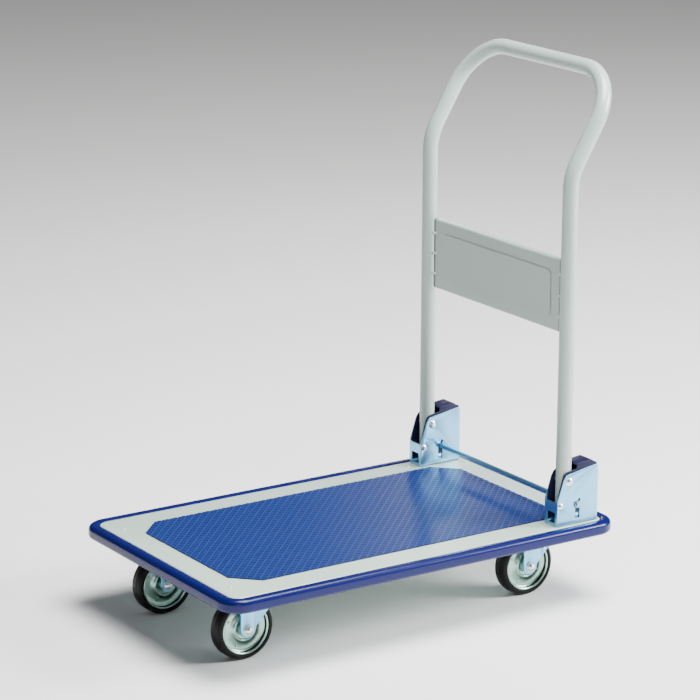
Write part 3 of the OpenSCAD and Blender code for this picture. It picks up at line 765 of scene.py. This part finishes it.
@dataclass
class Lock:
    """The foot-operated rod with its springs and clips, and the brackets' screws."""

    rod_edge: float = 0.8
    clip_edge: float = 0.2
    screw_edge: float = 0.3
    wire: float = 1.2
    turns: int = 5
    steps_per_turn: int = 24
    ring_sides: int = 10
    squashed: float = 0.27

    def build(self) -> None:
        """Makes and dresses the lock's pieces."""
        soften_node("lock_rod", self.rod_edge, SHEET_ZINC)
        soften_node("rod_clips", self.clip_edge, FASTENER_ZINC)
        soften_node("bracket_screws", self.screw_edge, FASTENER_ZINC)
        for side in Side:
            self.spring(side)

    def spring(self, side: Side) -> None:
        """Winds a return spring at one fixed length, though the real one shortens as the rod drops.

        Args:
            side: the side of the cart that it is on.
        """
        node = f"rod_spring_{side.value}"
        low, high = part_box(node)
        centre = (low + high) / 2
        thick = self.wire * MM / 2
        coil = (high.x - low.x) / 2 - thick
        mesh = bmesh.new()
        place = (Matrix.Translation((centre.x + coil, centre.y, low.z + thick))
                 @ Matrix.Rotation(math.pi / 2, 4, "X"))
        ring = bmesh.ops.create_circle(mesh, segments=self.ring_sides, radius=thick,
                                       matrix=place)["verts"]
        steps = self.turns * self.steps_per_turn
        rise = (high.z - low.z - 2 * thick) / steps
        edges = list({e for v in ring for e in v.link_edges})
        wound = bmesh.ops.spin(mesh, geom=ring + edges, cent=(centre.x, centre.y, 0), axis=(0, 0, 1),
                               dvec=(0, 0, rise), angle=math.tau * self.turns, steps=steps,
                               use_duplicate=False)
        last = only(bmesh.types.BMEdge, wound["geom_last"])
        bmesh.ops.edgeloop_fill(mesh, edges=edges)
        bmesh.ops.edgeloop_fill(mesh, edges=last)
        bmesh.ops.recalc_face_normals(mesh, faces=mesh.faces)
        piece = make_piece(f"return_spring_{side.value}", mesh, SPRING_WIRE, "deck",
                           [node])
        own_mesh(piece)


# ---- Handle ----


@dataclass(frozen=True)
class PanelBox:
    """Where the panel lies: its box, its front face along the cart and half of its length."""

    low: Vector
    high: Vector
    front: float
    half: float


@dataclass
class Handle:
    """The bent tube with its pressed panel, welds and bushes."""

    sheet: float = 1.5
    bend: float = 4.0
    bend_steps: int = 6
    cut_edge: float = 0.3
    # Width of the painted shade strip at either end of the panel, in millimetres.
    end_shade_strip: float = 5.0
    field_rise: float = 1.4
    field_end: float = 27.0
    field_edge: float = 22.0
    field_corner: float = 8.0
    corner_steps: int = 7
    bead: float = 2.4
    bead_flat: float = 0.8
    bead_proud: float = 0.9
    bead_rows: tuple[float, ...] = (0.21, 0.5, 0.79)
    bead_over: float = 4.0
    bead_start: float = 6.0
    bead_spare: float = 4.0
    ripples: int = 5
    ripple_swell: float = 1.15

    def build(self) -> None:
        """Makes and dresses the handle's pieces."""
        dress("handle_tube", HANDLE_COAT)
        dress("pivot_bushes", NYLON)
        self.panel()

    def panel(self) -> None:
        """Folds the panel's sheet, raises its field and lays its weld beads."""
        low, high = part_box("handle_panel")
        box = PanelBox(low, high, front=low.x + self.field_rise * MM, half=high.y - self.bead_over * MM)
        mesh = bmesh.new()
        self.fold_sheet(mesh, box)
        self.raise_field(mesh, box)
        self.lay_beads(mesh, box)
        make_piece("pressed_panel", mesh, HANDLE_COAT, "handle", ["handle_panel"],
                   others=(PAINTED_SHADE_COAT, WELD_HIGHLIGHT_COAT))

    def fold_sheet(self, mesh: bmesh.types.BMesh, box: PanelBox) -> None:
        """Folds the sheet's upper and lower edges back, and gives the strips at its ends painted shade.

        Args:
            mesh: the panel's mesh.
            box: where the panel lies.
        """
        deep = (box.high.x - box.front) / MM
        tall = (box.high.z - box.low.z) / MM
        outline = [(deep, 0.0)] + arc((self.bend, self.bend), self.bend, -90, -180, self.bend_steps)
        outline += arc((self.bend, tall - self.bend), self.bend, 180, 90, self.bend_steps)
        outline += [(deep, tall)]
        place = (Matrix.Translation((box.front, box.half, box.low.z))
                 @ Matrix.Rotation(math.pi / 2, 4, "X"))
        wire = draw_wire(mesh, outline, place, closed=False)
        grown = bmesh.ops.extrude_edge_only(mesh, edges=only(bmesh.types.BMEdge, wire))["geom"]
        far = only(bmesh.types.BMVert, grown)
        bmesh.ops.translate(mesh, verts=far, vec=(0, -2 * box.half, 0))
        bmesh.ops.recalc_face_normals(mesh, faces=mesh.faces)
        face = max(mesh.faces, key=lambda f: f.calc_area())
        if face.normal.x > 0:
            bmesh.ops.reverse_faces(mesh, faces=mesh.faces)
        bmesh.ops.solidify(mesh, geom=mesh.faces[:], thickness=self.sheet * MM)
        soften(mesh, self.cut_edge)
        # Painted shade: the strips beyond these cuts take material 1, dark where the panel meets the tube.
        shade_edge = box.half - self.end_shade_strip * MM
        for sign in (-1, 1):
            bmesh.ops.bisect_plane(mesh, geom=everything(mesh), plane_co=(0, sign * shade_edge, 0),
                                   plane_no=(0, sign, 0))
        for face in mesh.faces:
            if abs(face.calc_center_median().y) > shade_edge:
                face.material_index = 1

    def raise_field(self, mesh: bmesh.types.BMesh, box: PanelBox) -> None:
        """Presses the field out of the front face, with a groove round it darkened by painted shade.

        Args:
            mesh: the panel's mesh.
            box: where the panel lies.
        """
        field_tall = (box.high.z - box.low.z) / 2 - self.field_edge * MM
        field_wide = box.half - self.field_end * MM
        place = (Matrix.Translation((box.front, 0, (box.low.z + box.high.z) / 2))
                 @ Matrix.Rotation(-math.pi / 2, 4, "Y") @ Matrix.Diagonal((field_tall, field_wide, 1, 1)))
        corners = bmesh.ops.create_grid(mesh, x_segments=1, y_segments=1, size=1, matrix=place)["verts"]
        bevelled = bmesh.ops.bevel(mesh, geom=corners, offset=self.field_corner * MM,
                                   offset_type="OFFSET", segments=self.corner_steps, profile=ROUND,
                                   affect="VERTICES", material=-1)
        field = {f for v in bevelled["verts"] for f in v.link_faces}
        field = [max(field, key=lambda f: f.calc_area())]
        if field[0].normal.x > 0:
            bmesh.ops.reverse_faces(mesh, faces=field)
        # Each step: how far in, how far out, and which of the panel's finishes its walls take; finish 1 is
        # painted shade.
        steps = [(1.1, self.field_rise, 1), (2.0, 0.0, 0), (0.9, -1.3, 1), (1.5, 0.0, 1), (0.9, 1.1, 0)]
        for width, rise, coat in steps:
            walls = bmesh.ops.inset_region(mesh, faces=field, thickness=width * MM, depth=rise * MM,
                                           use_even_offset=True)["faces"]
            for face in walls:
                face.material_index = coat

    def lay_beads(self, mesh: bmesh.types.BMesh, box: PanelBox) -> None:
        """Lays three rippled weld beads at either end, across the gap to the tube.

        Args:
            mesh: the panel's mesh.
            box: where the panel lies.
        """
        start = box.half - self.bead_start * MM
        length = (self.bead_over + self.bead_spare) * MM
        for side in Side:
            for row in self.bead_rows:
                z = box.low.z + (box.high.z - box.low.z) * row
                for k in range(self.ripples):
                    y = start + length * k / (self.ripples - 1)
                    swell = 1.0 if k % 2 else self.ripple_swell
                    place = (Matrix.Translation((box.front + self.bead_proud * MM, side.sign * y, z))
                             @ Matrix.Diagonal((1, self.bead_flat, swell, 1)))
                    bead = bmesh.ops.create_icosphere(mesh, subdivisions=2, radius=self.bead * MM,
                                                      matrix=place)
                    # Painted highlight: the beads' faces take material 2, the paler weld coat.
                    for face in {f for v in bead["verts"] for f in v.link_faces}:
                        face.material_index = 2


# ---- Casters and wheels ----


@dataclass
class Wheel:
    """A solid tyre on two pressed rim halves and a turned hub."""

    end: End
    side: Side
    rim: float = 42.0
    hub: float = 10.5
    sheet: float = 1.5
    shoulder: float = 6.0
    inset: float = 0.6
    hub_edge: float = 0.4
    turn_steps: int = 96
    rivets: int = 4
    rivet_ring: float = 30.6
    rivet: float = 2.0
    rivet_flat: float = 0.6
    rivet_sunk: float = 8.4
    rivet_start: float = 0.3

    def build(self) -> None:
        """Makes and dresses the wheel's pieces."""
        tag = f"{self.end.value}_{self.side.value}"
        low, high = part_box(f"tyre_{tag}")
        centre = (low + high) / 2
        half = (high.y - low.y) / 2 / MM
        radius = (high.z - low.z) / 2 / MM
        body = f"wheel_{tag}"
        tyre = spun(self.tyre_outline(radius, half), centre, self.turn_steps)
        make_piece(f"moulded_tyre_{tag}", tyre, TYRE_RUBBER, body, [f"tyre_{tag}"])
        for name, sign in (("outer", self.side.sign), ("inner", -self.side.sign)):
            mesh = spun([(r, sign * w) for r, w in self.rim_outline(half)], centre, self.turn_steps)
            self.rivet_rim(mesh, centre, sign, half)
            make_piece(f"pressed_rim_{name}_{tag}", mesh, RIM_ZINC, body,
                       [f"rim_{name}_{tag}"])
        soften_node(f"hub_{tag}", self.hub_edge, RIM_ZINC)

    def tyre_outline(self, radius: float, half: float) -> list[Point]:
        """Section of the tyre as radius and width.

        Args:
            radius: the tyre's outer radius, in millimetres.
            half: half of its width, in millimetres.

        Returns:
            The closed outline, with a mould line round the middle of the tread.
        """
        corner = (radius - self.shoulder, half - self.shoulder)
        # Under the rim's lip, out over it, and up the side wall.
        wall = [(self.rim - 4.5, half - 4.2), (self.rim + 0.1, half - 2.9),
                (self.rim + 0.3, half - 0.9), (self.rim + 1.1, half - 0.1)]
        tread = arc(corner, self.shoulder, 90, 8, 8)
        mould_line = [(radius - 0.1, 0.5), (radius, 0.25)]
        return mirrored(wall + tread + mould_line)

    def rim_outline(self, half: float) -> list[Point]:
        """Section of a pressed rim half as radius and width.

        Args:
            half: half of the tyre's width, in millimetres.

        Returns:
            The closed outline: lip, dish, hub ring and neck, then back along the inside.
        """
        edge = half - self.inset
        neck = [(self.hub, edge - 5), (self.hub + 5.6, edge - 4.9)]
        ring = arc((self.hub + 8.2, edge - 3.6), 1.6, 180, 60, 4) + [(self.hub + 10.4, edge - 3.4)]
        dish = arc((self.hub + 20.5, edge + 5.2), 13.3, 222, 318, 10)
        lip = arc((self.rim - 2.2, edge - 1.7), 1.7, 140, 20, 6)
        face = neck + ring + dish + lip
        turned_in = [(self.rim, edge - 1.2 - self.sheet)]
        return face + turned_in + [(r, w - self.sheet) for r, w in reversed(face)]

    def rivet_rim(self, mesh: bmesh.types.BMesh, centre: Vector, sign: int, half: float) -> None:
        """Adds the ring of domed rivets that joins the rim halves.

        Args:
            mesh: the rim's mesh.
            centre: the middle of the wheel.
            sign: which way the rim faces along Y.
            half: half of the tyre's width, in millimetres.
        """
        for k in range(self.rivets):
            turn = Matrix.Rotation(math.tau * (k + self.rivet_start) / self.rivets, 4, "Y")
            place = (Matrix.Translation(centre) @ turn
                     @ Matrix.Translation((self.rivet_ring * MM, sign * (half - self.rivet_sunk) * MM, 0))
                     @ Matrix.Diagonal((1, self.rivet_flat, 1, 1)))
            bmesh.ops.create_uvsphere(mesh, u_segments=14, v_segments=8, radius=self.rivet * MM,
                                      matrix=place)


@dataclass
class Caster:
    """A fork with its plate, axle and wheel; the rear ones swivel."""

    end: End
    side: Side
    axle: float = 6.0
    collar: float = 8.5
    collar_thick: float = 2.0
    chamfer: float = 0.4
    nut: float = 7.5
    nut_height: float = 4.5
    axle_steps: int = 48
    rib_bend: float = 1.5
    rib_angle: float = 28.65
    rib_slack: float = 0.1
    rib_steps: int = 4
    cut_angle: float = 50.0
    cut_edge: float = 0.3
    plate_edge: float = 0.4
    pin_edge: float = 0.5

    def build(self) -> None:
        """Makes and dresses the caster's pieces."""
        end, side = self.end.value, self.side.value
        if self.end is End.FRONT:
            self.fork(f"rigid_fork_{side}")
        else:
            self.fork(f"swivel_fork_{side}")
            soften_node(f"swivel_plate_{side}", self.plate_edge, SHEET_ZINC)
            soften_node(f"kingpin_{side}", self.pin_edge, BRIGHT_ZINC)
            dress(f"race_balls_{side}", BRIGHT_ZINC)
        self.turn_axle(f"axle_{end}_{side}")
        Wheel(self.end, self.side).build()

    def fork(self, node: str) -> None:
        """Rounds the pressed rib of a fork's legs more than its cut edges.

        Args:
            node: the fork's CAD part.
        """
        low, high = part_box(f"axle_{self.end.value}_{self.side.value}")
        middle = (low + high) / 2
        face = (high.y - low.y) / 2 - (self.collar_thick + self.nut_height) * MM
        mesh = merged_copy(node)
        rib = [e for e in bent_edges(mesh, self.rib_angle)
               if all(abs(abs(v.co.y - middle.y) - face) < self.rib_slack * MM for v in e.verts)
               and all((v.co - middle).xz.length > self.collar * MM for v in e.verts)]
        bmesh.ops.bevel(mesh, geom=rib, offset=self.rib_bend * MM, offset_type="OFFSET",
                        segments=self.rib_steps, profile=ROUND, affect="EDGES", clamp_overlap=True,
                        material=-1)
        soften(mesh, self.cut_edge, angle=self.cut_angle)
        replace_node(node, mesh, SHEET_ZINC)

    def turn_axle(self, node: str) -> None:
        """Turns an axle with a collar and a domed nut at either end.

        Args:
            node: the axle's CAD part.
        """
        low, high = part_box(node)
        reach = (high.y - low.y) / 2 / MM
        face = reach - self.collar_thick - self.nut_height
        ball = (self.nut ** 2 + self.nut_height ** 2) / (2 * self.nut_height)
        sweep = math.degrees(math.asin(self.nut / ball))
        dome = arc((0.0, reach - ball), ball, 90, 90 - sweep, 10)
        dome[0] = (0.0, reach)
        collar = [(self.nut, face + 1.95), (self.collar - self.chamfer, face + self.collar_thick),
                  (self.collar, face + self.collar_thick - self.chamfer), (self.collar, face)]
        outline = mirrored(dome + collar + [(self.axle, face)])
        mesh = spun(outline, (low + high) / 2, self.axle_steps, closed=False)
        replace_node(node, mesh, BRIGHT_ZINC)


# ---- Studio ----


@dataclass
class Studio:
    """A pale floor, soft lamps and the camera."""

    eye: tuple[float, float, float] = (-2.6216, -3.8997, 1.7154)
    azimuth: float = -33.79
    pitch: float = 15.393
    roll: float = 0.352
    lens: float = 157.3
    sensor: float = 36.0
    floor_reach: float = 60.0
    sight: float = 200.0
    sky: float = 0.22
    horizon: float = 0.06
    dome_top: float = 0.8

    def build(self) -> None:
        """Sets up the floor, the lamps, the sky and the camera."""
        self.floor()
        self.lamp("overhead", place=(0.5, -0.7, 3.3), aim=(0, 0, 0.2), size=2.0, power=340)
        self.lamp("key", place=(3.6, -2.6, 2.2), aim=(0, 0, 0.4), size=1.5, power=430)
        self.lamp("fill", place=(-2.6, -4.0, 1.6), aim=(0, 0, 0.4), size=1.4, power=22)
        self.lamp("sheen", place=(1.889, 2.428, 1.13), aim=(0.148, -0.015, 0.138), size=0.22, power=2.2)
        world = bpy.data.worlds.new("soft_sky")
        world.use_nodes = True
        tree = world.node_tree
        tree.nodes.clear()
        toward = add_node(tree, "ShaderNodeTexCoord").outputs["Generated"]
        height = add_node(tree, "ShaderNodeSeparateXYZ", {"Vector": toward})
        dome = add_node(tree, "ShaderNodeMapRange", {"Value": height.outputs[2], "From Min": 0.0,
                                                     "From Max": self.dome_top,
                                                     "To Min": self.horizon, "To Max": self.sky})
        sky = add_node(tree, "ShaderNodeBackground", {"Strength": dome.outputs[0]})
        add_node(tree, "ShaderNodeOutputWorld", {"Surface": sky.outputs[0]})
        bpy.context.scene.world = world
        self.camera()

    def floor(self) -> None:
        """Lays the floor at the foot of the wheels."""
        mesh = bmesh.new()
        bmesh.ops.create_grid(mesh, x_segments=1, y_segments=1, size=self.floor_reach)
        data = bpy.data.meshes.new("floor")
        mesh.to_mesh(data)
        mesh.free()
        data.materials.append(FLOOR_PAINT.material())
        floor = bpy.data.objects.new("floor", data)
        bpy.context.scene.collection.objects.link(floor)

    def lamp(self, name: str, place: Sequence[float], aim: Sequence[float], size: float,
             power: float) -> None:
        """Hangs a square soft box.

        Args:
            name: the lamp's name.
            place: where it hangs, in metres.
            aim: the point that it faces.
            size: the length of its sides, in metres.
            power: its power, in watts.
        """
        light = bpy.data.lights.new(name, "AREA")
        light.size = size
        light.energy = power
        lamp = bpy.data.objects.new(name, light)
        lamp.location = place
        lamp.rotation_euler = (Vector(aim) - Vector(place)).to_track_quat("-Z", "Y").to_euler()
        bpy.context.scene.collection.objects.link(lamp)

    def camera(self) -> None:
        """Stands the camera in its place."""
        data = bpy.data.cameras.new("camera")
        data.lens = self.lens
        data.sensor_width = self.sensor
        data.clip_end = self.sight
        camera = bpy.data.objects.new("camera", data)
        turn = (Matrix.Rotation(math.radians(self.azimuth), 4, "Z")
                @ Matrix.Rotation(math.radians(90 - self.pitch), 4, "X")
                @ Matrix.Rotation(math.radians(self.roll), 4, "Z"))
        camera.matrix_world = Matrix.Translation(self.eye) @ turn
        bpy.context.scene.collection.objects.link(camera)
        bpy.context.scene.camera = camera


def main() -> None:
    """Builds the cart and the studio."""
    logging.basicConfig(level=logging.INFO, format="%(name)s %(message)s")
    Deck().build()
    Lock().build()
    Handle().build()
    for side in Side:
        Bracket(side).build()
    for end in End:
        for side in Side:
            Caster(end, side).build()
    soften_node("plate_bolts", BOLT_EDGE, FASTENER_ZINC)
    Studio().build()


if __name__ == "__main__":
    main()
